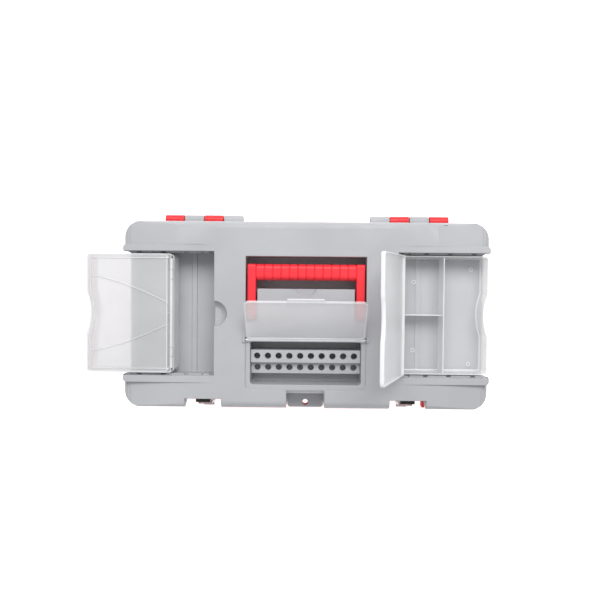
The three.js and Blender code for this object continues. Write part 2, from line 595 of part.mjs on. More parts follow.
function organizerLid() {
  const { plateLow, plateTop, rimLow, rimWidth, rimStart } = BOX_LID;
  const { x, z, barrel, lugY, lugHalf, pinHalf, room } = BOX_HINGE;
  const beyond = BOX.length + BOX.inner;
  const outward = (from) => box(from, beyond, -BOX.halfWidth * 2, BOX.halfWidth * 2, 0, plateTop + PAST);
  const plate = slab(boxOutline(0), plateLow, plateTop, 4).intersect(outward(x));
  const inside = slab(boxOutline(rimWidth), 0, plateTop + PAST, 4);
  const rim = slab(boxOutline(0), rimLow, plateLow + 1, 4).subtract(inside).intersect(outward(x + rimStart));
  const tube = rod('y', barrel, pinHalf * 2, x, BOX.y, z, 16);
  const lugRooms = [-lugY, lugY].map((y) => box(x - room, x + room - 1, BOX.y + y - lugHalf - GAP,
    BOX.y + y + lugHalf + GAP, z - room * 2, z + room + 2));
  const bore = rod('y', BOX_HINGE.boreRadius, BOX.halfWidth * 4, x, BOX.y, z, 12);
  return union(plate, rim, tube).subtract(union(...lugRooms, bore));
}

function organizerPin() {
  return rod('y', BOX_HINGE.pinRadius, BOX_HINGE.pinHalf * 2, BOX_HINGE.x, BOX.y, BOX_HINGE.z, 12);
}

// ---------------------------------------------------------------- latches (drawn about X = 0)

function latchBracket() {
  const { pivotY, pivotZ, sheet } = LATCH;
  const { x, radius, boreRadius } = LATCH_EAR;
  const y1 = PAD.front - GAP;
  const { half, foot, head, corner } = BRACKET;
  const outline = roundedRect(-half, half, PAD.low + foot, PAD.high - head, corner);
  const plate = alongY(outline, y1 - sheet, y1, 3);
  const earShape = new THREE.Shape();
  earShape.moveTo(y1 - 0.5, pivotZ - radius);
  earShape.lineTo(y1 - 0.5, pivotZ + radius);
  earShape.lineTo(pivotY, pivotZ + radius);
  earShape.absarc(pivotY, pivotZ, radius, Math.PI / 2, Math.PI * 1.5, false);
  const ear = alongX(earShape, x - sheet / 2, x + sheet / 2);
  return union(plate, bothSides(ear)).subtract(rod('x', boreRadius, half * 4, 0, pivotY, pivotZ, 12));
}

function latchPin() {
  return rod('x', LATCH_EAR.pinRadius, LATCH.leverHalf * 2 + 1, 0, LATCH.pivotY, LATCH.pivotZ, 12);
}

function latchLever() {
  const { pivotY, pivotZ, sheet, leverHalf, leverLow, plateOffset } = LATCH;
  const { topRise, lipHalf, lipStep, lipReach, cheekRear } = LEVER;
  const inner = pivotY - plateOffset;
  const outer = inner - sheet;
  const top = pivotZ + topRise;
  const bailZ = pivotZ - BAIL.drop;
  const plate = box(-leverHalf, leverHalf, outer, inner, leverLow, top);
  const lipShape = polygon([[inner, leverLow + 1], [outer, leverLow + 3], [outer - lipStep, leverLow - 2],
    [outer - lipReach, leverLow - 1], [outer - lipReach, leverLow - 2.5], [outer - lipStep, leverLow - 3.5],
    [inner, leverLow - 0.5]]);
  const lip = alongX(lipShape, -lipHalf, lipHalf);
  const cheekShape = polygon([[outer + 0.5, top], [pivotY + cheekRear, top], [pivotY + 3, pivotZ - 2],
    [pivotY + cheekRear, bailZ - 3], [outer + 0.5, bailZ - 8]]);
  const cheek = alongX(cheekShape, leverHalf - sheet, leverHalf);
  const pivotBore = rod('x', LATCH_EAR.boreRadius, leverHalf * 4, 0, pivotY, pivotZ, 12);
  const bailBore = rod('x', BAIL.boreRadius, leverHalf * 4, 0, pivotY, bailZ, 12);
  return union(plate, lip, bothSides(cheek)).subtract(pivotBore.add(bailBore));
}

// The wire loop: two short pivot ends turned inwards, two legs and a cross bar.
class BailPath extends THREE.Curve {
  getPoint(t, target = new THREE.Vector3()) {
    const side = t < 0.5 ? -1 : 1;
    const point = BailPath.half().getPoint(t < 0.5 ? t * 2 : (1 - t) * 2);
    return target.set(side * point.x, LATCH.pivotY, point.y);
  }

  // One half, drawn in X and Z from the pivot end to the middle of the cross bar.
  static half() {
    const { drop, reach, halfWidth: x, pivotTurn, pivotEnd, bend } = BAIL;
    const z0 = LATCH.pivotZ - drop;
    const z1 = z0 - reach;
    const point = (px, pz) => new THREE.Vector2(px, pz);
    const path = new THREE.CurvePath();
    path.add(new THREE.LineCurve(point(x - pivotEnd, z0), point(x - pivotTurn, z0)));
    path.add(new THREE.QuadraticBezierCurve(point(x - pivotTurn, z0), point(x, z0), point(x, z0 - pivotTurn)));
    path.add(new THREE.LineCurve(point(x, z0 - pivotTurn), point(x, z1 + bend)));
    path.add(new THREE.QuadraticBezierCurve(point(x, z1 + bend), point(x, z1), point(x - bend, z1)));
    path.add(new THREE.LineCurve(point(x - bend, z1), point(0, z1)));
    return path;
  }
}

function latchBail() {
  const section = new THREE.Shape();
  section.absarc(0, 0, BAIL.wire, 0, Math.PI * 2, false);
  const geometry = new THREE.ExtrudeGeometry(section,
    { steps: BAIL.steps, extrudePath: new BailPath(), bevelEnabled: false, curveSegments: 3 });
  return solid(geometry);
}

function latchKeeper() {
  const { halfWidth, low, high, front, plateHigh, sheet, corner } = KEEPER;
  const face = NOTCH.wallY - GAP;
  const plate = alongY(roundedRect(-halfWidth, halfWidth, low, plateHigh, corner), face - sheet, face, 2);
  const ledgeShape = polygon([[face, low], [front, low + sheet], [front, high], [face, high]]);
  const ledge = alongX(ledgeShape, -halfWidth, halfWidth);
  return plate.add(ledge);
}

// A domed rivet head, standing off the face at y by the usual gap.
function rivet(y, z) {
  const profile = [new THREE.Vector2(0, 0), new THREE.Vector2(RIVET.radius, 0),
    new THREE.Vector2(RIVET.radius * 0.8, RIVET.head * 0.7), new THREE.Vector2(0, RIVET.head)];
  const geometry = new THREE.LatheGeometry(profile, 12);
  geometry.rotateX(Math.PI);
  geometry.translate(0, y - GAP, z);
  return solid(geometry);
}

// ---------------------------------------------------------------- assembly

const toolbox = new THREE.Group();

toolbox.add(part('bin', binBody(), RED));
toolbox.add(part('lid_shell', lidShell(), GREY));
toolbox.add(part('tote_tray', toteTray(), TOTE_GREY));

for (const [side, sign] of [['left', -1], ['right', 1]]) {
  const length = HINGE.pitch * 3 + HINGE.length;
  const x = sign * (HINGE.outer - length / 2);
  toolbox.add(part(`hinge_pin_${side}`, rod('x', HINGE.pinRadius, length - 2, x, HINGE.y, HINGE.z, 16), STEEL));
  toolbox.add(part(`handle_pin_${side}`, handlePin(sign), STEEL));
}

toolbox.add(part('handle', handleBody(), RED));
toolbox.add(part('bit_rack', bitRack(), GREY));
const coverPin = rod('x', COVER_PIN.radius, COVER_PIN.halfLength * 2, 0, COVER.hingeY, COVER.hingeZ, 12);
toolbox.add(part('bit_cover_pin', coverPin, STEEL));

const cover = part('bit_cover', bitCoverBody(), CLEAR);
cover.position.set(0, COVER.hingeY, COVER.hingeZ);
cover.rotation.x = THREE.MathUtils.degToRad(-COVER.openDeg);
toolbox.add(cover);

const rightTray = new THREE.Group();
rightTray.add(part('organizer_right_tray', organizerTray(), CLEAR));
rightTray.add(part('organizer_right_hinge_pin', organizerPin(), CLEAR));
const rightLidPivot = new THREE.Group();
rightLidPivot.position.set(BOX_HINGE.x, 0, BOX_HINGE.z);
rightLidPivot.rotation.y = THREE.MathUtils.degToRad(-BOX_LID.openDeg);
const rightLid = part('organizer_right_lid', organizerLid(), CLEAR);
rightLid.position.set(-BOX_HINGE.x, 0, -BOX_HINGE.z);
rightLidPivot.add(rightLid);
rightTray.add(rightLidPivot);
toolbox.add(rightTray);

const leftTray = new THREE.Group();
leftTray.position.x = -LEFT_SLIDE_OUT;
leftTray.add(part('organizer_left_tray', organizerTray().mirror([1, 0, 0]), CLEAR));
leftTray.add(part('organizer_left_hinge_pin', organizerPin().mirror([1, 0, 0]), CLEAR));
leftTray.add(part('organizer_left_lid', organizerLid().mirror([1, 0, 0]), CLEAR));
toolbox.add(leftTray);

for (const [side, sign] of [['left', -1], ['right', 1]]) {
  const latch = new THREE.Group();
  latch.position.x = sign * LATCH_X;
  const bracketFace = PAD.front - GAP - LATCH.sheet;
  const keeperFace = NOTCH.wallY - GAP - KEEPER.sheet;
  latch.add(part(`latch_${side}_bracket`, latchBracket(), STEEL));
  latch.add(part(`latch_${side}_pivot_pin`, latchPin(), STEEL));
  latch.add(part(`latch_${side}_lever`, latchLever(), STEEL));
  latch.add(part(`latch_${side}_bail`, latchBail(), STEEL));
  latch.add(part(`latch_${side}_keeper`, latchKeeper(), DARK));
  latch.add(part(`latch_${side}_bracket_rivet_high`, rivet(bracketFace, RIVET.highZ), STEEL));
  latch.add(part(`latch_${side}_bracket_rivet_low`, rivet(bracketFace, RIVET.lowZ), STEEL));
  latch.add(part(`latch_${side}_keeper_rivet`, rivet(keeperFace, RIVET.keeperZ), STEEL));
  toolbox.add(latch);
}

export default toolbox;
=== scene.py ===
"""Toolbox with tray: looks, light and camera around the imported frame."""

import json
import math

import bmesh
import bpy
from mathutils import Matrix, Vector


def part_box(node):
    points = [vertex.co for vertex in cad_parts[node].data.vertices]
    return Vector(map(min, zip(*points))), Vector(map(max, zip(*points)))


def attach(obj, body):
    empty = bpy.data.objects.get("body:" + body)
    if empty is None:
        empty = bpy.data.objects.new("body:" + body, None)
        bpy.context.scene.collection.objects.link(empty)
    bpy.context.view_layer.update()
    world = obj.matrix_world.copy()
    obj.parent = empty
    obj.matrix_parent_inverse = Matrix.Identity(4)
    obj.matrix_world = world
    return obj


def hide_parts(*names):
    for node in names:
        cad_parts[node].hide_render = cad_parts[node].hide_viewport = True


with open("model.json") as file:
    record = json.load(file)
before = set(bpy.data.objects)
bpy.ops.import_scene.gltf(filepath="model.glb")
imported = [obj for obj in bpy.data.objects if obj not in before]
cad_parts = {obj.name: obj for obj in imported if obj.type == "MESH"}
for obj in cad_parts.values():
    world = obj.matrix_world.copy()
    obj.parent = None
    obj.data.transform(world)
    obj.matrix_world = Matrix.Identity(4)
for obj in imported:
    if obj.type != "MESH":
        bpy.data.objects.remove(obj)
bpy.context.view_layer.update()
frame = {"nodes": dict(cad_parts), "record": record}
MM = 0.001
RECORD = frame["record"]
NODE_BODY = {n: b for b, ns in RECORD["behaviour"]["bodies"].items() for n in ns}
NODE_SLOT = {s["node"]: s["material_slot"] for s in RECORD["subparts"]}
JOINTS = {j["name"]: j for j in RECORD["behaviour"]["joints"]}


# ---------------------------------------------------------------- materials

def new_material(name):
    material = bpy.data.materials.new(name)
    material.use_nodes = True
    nodes = material.node_tree.nodes
    nodes.clear()
    output = nodes.new("ShaderNodeOutputMaterial")
    shader = nodes.new("ShaderNodeBsdfPrincipled")
    material.node_tree.links.new(shader.outputs[0], output.inputs["Surface"])
    return material, nodes, material.node_tree.links, shader, output


def object_coordinates(nodes):
    return nodes.new("ShaderNodeTexCoord").outputs["Object"]


def noise(nodes, links, coords, scale, detail=2.0, roughness=0.5):
    texture = nodes.new("ShaderNodeTexNoise")
    texture.inputs["Scale"].default_value = scale
    texture.inputs["Detail"].default_value = detail
    texture.inputs["Roughness"].default_value = roughness
    links.new(coords, texture.inputs["Vector"])
    return texture.outputs["Fac"]


def ramp(nodes, links, value, low, high, from_low=0.35, from_high=0.65):
    """Maps a grey value onto a range of numbers."""
    mapped = nodes.new("ShaderNodeMapRange")
    mapped.inputs["From Min"].default_value = from_low
    mapped.inputs["From Max"].default_value = from_high
    mapped.inputs["To Min"].default_value = low
    mapped.inputs["To Max"].default_value = high
    links.new(value, mapped.inputs["Value"])
    return mapped.outputs["Result"]


def tinted(nodes, links, value, dark, light):
    """Mixes two colours by a grey value."""
    mix = nodes.new("ShaderNodeMix")
    mix.data_type = "RGBA"
    mix.inputs[6].default_value = (*dark, 1)
    mix.inputs[7].default_value = (*light, 1)
    links.new(value, mix.inputs[0])
    return mix.outputs[2]


def bump(nodes, links, height, strength, distance, normal=None):
    node = nodes.new("ShaderNodeBump")
    node.inputs["Strength"].default_value = strength
    node.inputs["Distance"].default_value = distance
    links.new(height, node.inputs["Height"])
    if normal is not None:
        links.new(normal, node.inputs["Normal"])
    return node.outputs["Normal"]


IOR = 1.49
CLOUD_SCALE = 9.0
PATCH_SCALE = 55.0
TINT_SPREAD = 0.05


def moulded_plastic(name, colour, grain=2600.0, rough=(0.42, 0.6)):
    """Opaque moulded polypropylene with a spark-eroded grain, faint flow marks and rubbed spots."""
    material, nodes, links, shader, _ = new_material(name)
    coords = object_coordinates(nodes)
    cloud = noise(nodes, links, coords, CLOUD_SCALE, 3.0)
    patches = noise(nodes, links, coords, PATCH_SCALE, 4.0, 0.6)
    fine = noise(nodes, links, coords, grain, 2.0, 0.6)
    dark = [c * (1 - TINT_SPREAD) for c in colour]
    light = [min(1.0, c * (1 + TINT_SPREAD)) for c in colour]
    tint = tinted(nodes, links, ramp(nodes, links, cloud, 0, 1), dark, light)
    links.new(tint, shader.inputs["Base Color"])
    links.new(ramp(nodes, links, patches, rough[0], rough[1]), shader.inputs["Roughness"])
    waves = bump(nodes, links, patches, 0.05, 0.0006)
    links.new(bump(nodes, links, fine, 0.22, 0.00012, waves), shader.inputs["Normal"])
    shader.inputs["IOR"].default_value = IOR
    shader.inputs["Specular IOR Level"].default_value = 0.4
    return material


MILK_SPREAD = 0.015


def clear_plastic(name, milk, colour):
    """Natural polypropylene: milk is the share of the skin that hides what is behind it."""
    material, nodes, links, shader, output = new_material(name)
    coords = object_coordinates(nodes)
    cloud = noise(nodes, links, coords, 14.0, 2.0)
    fine = noise(nodes, links, coords, 1400.0, 2.0)
    dark = [c * 0.97 for c in colour]
    tint = tinted(nodes, links, ramp(nodes, links, cloud, 0, 1), dark, colour)
    links.new(tint, shader.inputs["Base Color"])
    links.new(ramp(nodes, links, fine, 0.1, 0.2), shader.inputs["Roughness"])
    links.new(bump(nodes, links, fine, 0.05, 0.00005), shader.inputs["Normal"])
    shader.inputs["IOR"].default_value = IOR
    clear = nodes.new("ShaderNodeBsdfTransparent")
    clear.inputs["Color"].default_value = (0.995, 0.996, 0.998, 1)
    mix = nodes.new("ShaderNodeMixShader")
    links.new(ramp(nodes, links, cloud, milk - MILK_SPREAD, milk + MILK_SPREAD), mix.inputs["Fac"])
    links.new(clear.outputs[0], mix.inputs[1])
    links.new(shader.outputs[0], mix.inputs[2])
    links.new(mix.outputs[0], output.inputs["Surface"])
    return material


def plated_steel(name, colour=(0.62, 0.62, 0.63), rough=(0.18, 0.34)):
    """Nickel-plated sheet with faint rolling marks and handling wear."""
    material, nodes, links, shader, _ = new_material(name)
    coords = object_coordinates(nodes)
    stretch = nodes.new("ShaderNodeMapping")
    stretch.inputs["Scale"].default_value = (1.0, 12.0, 12.0)
    links.new(coords, stretch.inputs["Vector"])
    lines = noise(nodes, links, stretch.outputs[0], 260.0, 3.0, 0.7)
    stains = noise(nodes, links, coords, 70.0, 4.0)
    dark = [c * 0.82 for c in colour]
    tint = tinted(nodes, links, ramp(nodes, links, stains, 0, 1), dark, colour)
    links.new(tint, shader.inputs["Base Color"])
    links.new(ramp(nodes, links, lines, rough[0], rough[1]), shader.inputs["Roughness"])
    links.new(bump(nodes, links, lines, 0.08, 0.0001), shader.inputs["Normal"])
    shader.inputs["Metallic"].default_value = 1.0
    return material


GREY = moulded_plastic("lid_grey", (0.425, 0.43, 0.45))
RED = moulded_plastic("bin_red", (0.78, 0.028, 0.035), grain=2200.0, rough=(0.34, 0.5))
GRIP_RED = moulded_plastic("handle_red", (0.86, 0.03, 0.045), grain=3000.0, rough=(0.36, 0.5))
TOTE = moulded_plastic("tote_dark_grey", (0.085, 0.09, 0.1), rough=(0.45, 0.62))
# The milkier second material of each clear plastic is painted light: a whiter copy that stands in for the
# brighter look of walls, rims and edges seen edge-on.
CLEAR = clear_plastic("organizer_clear", 0.17, (0.97, 0.975, 0.985))
CLEAR_PAINTED_EDGE_LIGHT = clear_plastic("organizer_clear_edge", 0.6, (0.95, 0.955, 0.965))
COVER = clear_plastic("bit_cover_clear", 0.11, (0.88, 0.89, 0.91))
COVER_PAINTED_EDGE_LIGHT = clear_plastic("bit_cover_clear_edge", 0.55, (0.92, 0.93, 0.945))
STEEL = plated_steel("nickel_steel")
BLACK = moulded_plastic("black_enamel", (0.012, 0.012, 0.013), grain=1500.0, rough=(0.25, 0.45))

SLOT_MATERIAL = {
    "grey_plastic": GREY,
    "red_plastic": RED,
    "clear_plastic": CLEAR,
    "dark_grey_plastic": TOTE,
    "black_steel": BLACK,
    "bright_steel": STEEL,
}


# ---------------------------------------------------------------- mesh helpers

def add_object(name, mesh):
    obj = bpy.data.objects.new(name, mesh)
    bpy.context.scene.collection.objects.link(obj)
    return obj


def apply_modifiers(obj):
    bpy.context.view_layer.update()
    evaluated = obj.evaluated_get(bpy.context.evaluated_depsgraph_get())
    mesh = bpy.data.meshes.new_from_object(evaluated)
    obj.modifiers.clear()
    obj.data = mesh


def smooth(obj, sharp=40):
    obj.data.shade_smooth()
    obj.data.set_sharp_from_angle(angle=math.radians(sharp))
    weighted = obj.modifiers.new("normals", "WEIGHTED_NORMAL")
    weighted.keep_sharp = True
    weighted.weight = 100
    weighted.use_face_influence = True
    return obj


FLAT_ANGLE = math.radians(0.1)     # faces that meet at less lie in one plane
SHARP_ANGLE = math.radians(32)
SHORTEST_EDGE = 0.6                # as a share of the rounding's width
SLIVER = 0.08 * MM
ROUND_SEGMENTS = 3


def soften(obj, width):
    """Rounds the sharp edges that are long enough to take it and shades the rest smooth."""
    work = bmesh.new()
    work.from_mesh(obj.data)
    flat = [e for e in work.edges if e.is_manifold and e.calc_face_angle(0) < FLAT_ANGLE]
    bmesh.ops.beautify_fill(work, faces=work.faces, edges=flat)
    edges = [e for e in work.edges if e.is_manifold and e.calc_face_angle(0) > SHARP_ANGLE
             and e.calc_length() > width * SHORTEST_EDGE]
    bmesh.ops.bevel(work, geom=edges, offset=width, segments=ROUND_SEGMENTS, profile=0.5, affect="EDGES",
                    clamp_overlap=False, offset_type="OFFSET", face_strength_mode="ALL")
    bmesh.ops.dissolve_degenerate(work, edges=work.edges, dist=SLIVER)
    bmesh.ops.recalc_face_normals(work, faces=work.faces)
    work.to_mesh(obj.data)
    work.free()
    return smooth(obj)


WELD = 0.02 * MM
FINE_WELD = 0.002 * MM


def mesh_copy(node, name, weld):
    """A node's faces in one closed skin, with slivers collapsed."""
    mesh = bpy.data.meshes.new(name)
    work = bmesh.new()
    work.from_mesh(frame["nodes"][node].data)
    bmesh.ops.remove_doubles(work, verts=work.verts, dist=weld)
    bmesh.ops.dissolve_degenerate(work, edges=work.edges, dist=weld)
    work.to_mesh(mesh)
    work.free()
    return mesh


def refined(node, width):
    mesh = mesh_copy(node, node + "_piece", WELD)
    return soften(add_object(node + "_piece", mesh), width)


def place(obj, body, slot, materials, *nodes):
    obj.data.materials.clear()
    for material in materials:
        obj.data.materials.append(material)
    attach(obj, body)
    if nodes:
        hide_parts(*nodes)
    return obj


EDGE_WIDTH = {"bin": 1.0, "lid_shell": 0.9, "tote_tray": 0.8, "bit_rack": 0.5}
SMALL_EDGE_WIDTH = 0.3


def plain_nodes(skip):
    """A rounded copy of each node whose piece isn't built from outlines."""
    for node in frame["nodes"]:
        if node not in skip:
            piece = refined(node, EDGE_WIDTH.get(node, SMALL_EDGE_WIDTH) * MM)
            slot = NODE_SLOT[node]
            place(piece, NODE_BODY[node], slot, [SLOT_MATERIAL[slot]], node)


def rest_turn(joint_name, degrees):
    """The turn that carries a closed lid to the pose it is stored in."""
    joint = JOINTS[joint_name]
    centre = Matrix.Translation(Vector(joint["pos_m"]))
    return centre @ Matrix.Rotation(math.radians(degrees), 4, Vector(joint["axis"])) @ centre.inverted()


# ---------------------------------------------------------------- rounded solids from outlines

def arc(cx, cy, radius, start, end, steps):
    """Points on an arc, angles in degrees."""
    angles = [math.radians(start + (end - start) * i / steps) for i in range(steps + 1)]
    return [(cx + radius * math.cos(a), cy + radius * math.sin(a)) for a in angles]


def rounded_rect(x0, x1, y0, y1, r, steps=8):
    return (arc(x1 - r, y0 + r, r, -90, 0, steps) + arc(x1 - r, y1 - r, r, 0, 90, steps)
            + arc(x0 + r, y1 - r, r, 90, 180, steps) + arc(x0 + r, y0 + r, r, 180, 270, steps))


def inset(loop, amount):
    """The counter-clockwise loop moved inwards by the same amount all round."""
    moved = []
    for i, point in enumerate(loop):
        here = Vector(point)
        before = (here - Vector(loop[i - 1])).normalized()
        after = (Vector(loop[(i + 1) % len(loop)]) - here).normalized()
        normal = Vector((-(before.y + after.y), before.x + after.x)).normalized()
        lean = max(0.4, normal.dot(Vector((-before.y, before.x))))
        moved.append(tuple(here + normal * (amount / lean)))
    return moved


def rounding(radius, steps=4):
    """Pairs (inset, drop) down a quarter round, from the face to the wall."""
    angles = [math.pi / 2 * i / steps for i in range(steps + 1)]
    return [(radius * (1 - math.sin(a)), radius * (1 - math.cos(a))) for a in angles]


def prism_rings(loop, low, high, radius):
    """Loops up a solid whose bottom and top edges are rounded."""
    rings = [(inset(loop, i), low + d) for i, d in rounding(radius)]
    return rings + [(inset(loop, i), high - d) for i, d in reversed(rounding(radius))]


def bowl_rings(loop, low, high, wall, radius, fillet):
    """Loops up the outside of an open tray, over its rim and down to its floor."""
    outside = [(inset(loop, i), low + d) for i, d in rounding(fillet)]
    rim = [(inset(loop, i), high - d) for i, d in reversed(rounding(wall / 2))]
    over = [(inset(loop, wall - i), high - d) for i, d in rounding(wall / 2)[1:]]
    inside = [(inset(loop, wall + i), low + wall + d) for i, d in reversed(rounding(radius))]
    return outside + rim + over + inside


def skin(name, rings, to_space):
    """A closed mesh through the rings, each a loop and a height, capped at both ends."""
    work = bmesh.new()
    rows = [[work.verts.new(to_space(u, v, w)) for u, v in loop] for loop, w in rings]
    for lower, upper in zip(rows, rows[1:]):
        for i in range(len(lower)):
            k = (i + 1) % len(lower)
            work.faces.new((lower[i], lower[k], upper[k], upper[i]))
    work.faces.new(rows[0][::-1])
    work.faces.new(rows[-1])
    bmesh.ops.recalc_face_normals(work, faces=work.faces)
    mesh = bpy.data.meshes.new(name)
    work.to_mesh(mesh)
    work.free()
    return smooth(add_object(name, mesh))


def upright(u, v, w):
    return Vector((u, v, w))


def along_x(u, v, w):
    return Vector((w, u, v))


DOME_SHRINK = 0.45
DOME_REACH = 0.6


def tube(name, points, radius, sides=10):
    """A round bead with domed ends along a run of points."""
    path = [Vector(p) for p in points]
    rows = []
    for i, here in enumerate(path):
        ahead = (path[min(i + 1, len(path) - 1)] - path[max(i - 1, 0)]).normalized()
        steep = abs(ahead.z) > 0.9
        side = (ahead.orthogonal() if steep else ahead.cross(Vector((0, 0, 1)))).normalized()
        up = side.cross(ahead)
        end = i in (0, len(path) - 1)
        reach = radius * (DOME_SHRINK if end else 1)
        shift = ahead * (radius * DOME_REACH * (1 if i else -1)) if end else Vector()
        turns = [2 * math.pi * k / sides for k in range(sides)]
        rows.append([here + shift + (side * math.cos(a) + up * math.sin(a)) * reach for a in turns])
    work = bmesh.new()
    verts = [[work.verts.new(p) for p in row] for row in rows]
    for lower, upper in zip(verts, verts[1:]):
        for k in range(sides):
            work.faces.new((lower[k], lower[(k + 1) % sides], upper[(k + 1) % sides], upper[k]))
    work.faces.new(verts[0][::-1])
    work.faces.new(verts[-1])
    bmesh.ops.recalc_face_normals(work, faces=work.faces)
    mesh = bpy.data.meshes.new(name)
    work.to_mesh(mesh)
    work.free()
    return smooth(add_object(name, mesh), 60)


def turned(obj, matrix):
    obj.data.transform(matrix)
    return obj


# ---------------------------------------------------------------- handle

ARM_WIDTH = 13 * MM
GRIP_DEPTH = 24.6 * MM
GRIP_CORNER = 7 * MM
GRIP_SINK = 1 * MM                 # how far each end of the grip reaches into its arm
ARM = {"tail": 9.5 * MM, "corner": 4 * MM, "step": 2 * MM, "round": 1.8 * MM}
SLOT = {"half": 2.4 * MM, "front": 7 * MM, "rear": 15 * MM, "corner": 2.3 * MM,
        "floor": 2 * MM, "past": 5 * MM}
SEEN_PIN = {"half": 2 * MM, "rise": 3.2 * MM, "radius": 1.7 * MM}
RIB = {"count": 12, "pitch": 12.5 * MM, "crown": 0.8 * MM}
GROOVE = {"depth": 1.3 * MM, "half": 0.65 * MM, "blend": 0.45 * MM, "lip": 0.12 * MM}


def grip_sections(reach):
    """Positions along the grip with how far its skin is drawn in, for the grooves between ribs."""
    depth, half = GROOVE["depth"], GROOVE["half"]
    outer = half + GROOVE["blend"]
    wall = [(half * 0.4, depth), (half, depth * 0.75), (outer, GROOVE["lip"])]
    stops = [(-reach, 0.0)]
    for i in range(RIB["count"] + 1):
        x = (i - RIB["count"] / 2) * RIB["pitch"]
        stops += [(x - out, drop) for out, drop in reversed(wall)] + [(x + out, drop) for out, drop in wall]
        if i < RIB["count"]:
            stops += [(x + outer + RIB["crown"], 0.0), (x + RIB["pitch"] - outer - RIB["crown"], 0.0)]
    return stops + [(reach, 0.0)]


def cut_slot(arm, middle, pivot, top):
    """Sinks a slot over the pivot pin into the end of an arm."""
    plan = rounded_rect(middle - SLOT["half"], middle + SLOT["half"],
                        pivot.y - SLOT["front"], pivot.y + SLOT["rear"], SLOT["corner"])
    cutter = skin("slot_cutter", [(plan, pivot.z + SLOT["floor"]), (plan, top + SLOT["past"])], upright)
    cut = arm.modifiers.new("slot", "BOOLEAN")
    cut.operation = "DIFFERENCE"
    cut.object = cutter
    cut.solver = "EXACT"
    apply_modifiers(arm)
    bpy.data.objects.remove(cutter)


def build_handle():
    low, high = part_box("handle")
    pivot = Vector(JOINTS["handle_fold"]["pos_m"])
    arm_in = high.x - ARM_WIDTH
    section = rounded_rect(high.y - GRIP_DEPTH, high.y, low.z, high.z, GRIP_CORNER)
    rings = [(inset(section, d), x) for x, d in grip_sections(arm_in + GRIP_SINK)]
    place(skin("handle_grip", rings, along_x), "handle", "red_plastic", [GRIP_RED], "handle")

    corner = ARM["corner"]
    outline = (arc(pivot.y, pivot.z, ARM["tail"], 90, 270, 16)
               + arc(high.y - corner, low.z + corner + ARM["step"], corner, -90, 0, 6)
               + arc(high.y - corner, high.z - corner, corner, 0, 90, 6))
    for side in (-1, 1):
        ends = sorted((side * arm_in, side * high.x))
        arm = skin(f"handle_arm_{side + 1}", prism_rings(outline, ends[0], ends[1], ARM["round"]), along_x)
        middle = side * (arm_in + high.x) / 2
        cut_slot(arm, middle, pivot, high.z)
        place(smooth(arm), "handle", "red_plastic", [GRIP_RED])
        z = pivot.z + SEEN_PIN["rise"]
        bead = [(middle, pivot.y + turn * SEEN_PIN["half"], z) for turn in (-1, 1)]
        pin = tube(f"handle_pin_seen_{side + 1}", bead, SEEN_PIN["radius"])
        place(pin, "handle", "bright_steel", [STEEL])


# ---------------------------------------------------------------- organizers

TRAY = {"height": 37.5 * MM, "wall": 1.8 * MM, "corner": 6 * MM, "dent": 6 * MM, "dent_half": 32 * MM,
        "floor_fillet": 2 * MM, "foot": 1.5 * MM}
DIVIDER = {"at": 64.4 * MM, "half": 0.9 * MM, "sunk": 0.5 * MM, "drop": 1.5 * MM, "cross_drop": 5.5 * MM}
RING_MARKS = [(25.0, 50.1), (24.5, -56.0), (113.0, 69.9), (110.9, -76.4)]
RING = {"radius": 2.6 * MM, "bead": 0.55 * MM, "rise": 0.3 * MM}
LUG = {"at": 58 * MM, "half": 6.9 * MM, "eye": 2.3 * MM, "foot": 0.2 * MM, "foot_drop": 5 * MM,
       "lean": 1.2 * MM, "shoulder": 1.5 * MM, "round": 0.5 * MM}
PLATE = {"thick": 2.2 * MM, "round": 0.7 * MM}
SKIRT = {"start": 6 * MM, "drop": 3.6 * MM, "wall": 2 * MM, "lap": 0.3 * MM, "round": 0.5 * MM}
KNUCKLE = {"radius": 2.3 * MM, "round": 0.4 * MM, "spans": ((-82, -65.5), (-50.5, 50.5), (65.5, 82))}
RIDGE = {"radius": 0.6 * MM, "border": 6.5 * MM}
RAY = {"inner": 4 * MM, "outer": 8 * MM, "start": 15.5, "spread": 40.5, "bend": 1.41, "steps": 16}
BARELY = 0.01 * MM                 # keeps a round outline's corner radius under its half width


def organizer_outline(length, half):
    """Plan of a tray from its hinge side at 0 to its outer end, which has a shallow finger dent."""
    r = TRAY["corner"]
    depth, chord = TRAY["dent"], TRAY["dent_half"]
    radius = (chord * chord + depth * depth) / (2 * depth)
    half_turn = math.degrees(math.asin(chord / radius))
    dent = arc(length - depth + radius, 0, radius, 180 + half_turn, 180 - half_turn, 14)
    return (arc(length - r, -half + r, r, -90, 0, 8) + dent + arc(length - r, half - r, r, 0, 90, 8)
            + arc(r, half - r, r, 90, 180, 8) + arc(r, -half + r, r, 180, 270, 8))


class Organizer:
    """One organizer's own directions: u outwards from the hinge side, v along the hinge."""

    def __init__(self, side):
        self.name = "organizer_" + side
        low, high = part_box(self.name + "_tray")
        self.sign = 1 if side == "right" else -1
        self.start = low.x if self.sign > 0 else high.x
        self.length = high.x - low.x
        self.middle = (low.y + high.y) / 2
        self.half = (high.y - low.y) / 2
        self.low = low.z
        self.hinge = Vector(JOINTS[self.name + "_lid_hinge"]["pos_m"])

    def point(self, u, v, w):
        return Vector((self.start + self.sign * u, self.middle + v, w))

    def put(self, obj, *nodes, part="", edge=False):
        body = self.name + part
        # Pieces put with edge get the milkier copy, painted light for walls and rims seen edge-on.
        return place(obj, body, "clear_plastic", [CLEAR_PAINTED_EDGE_LIGHT if edge else CLEAR, CLEAR_PAINTED_EDGE_LIGHT], *nodes)


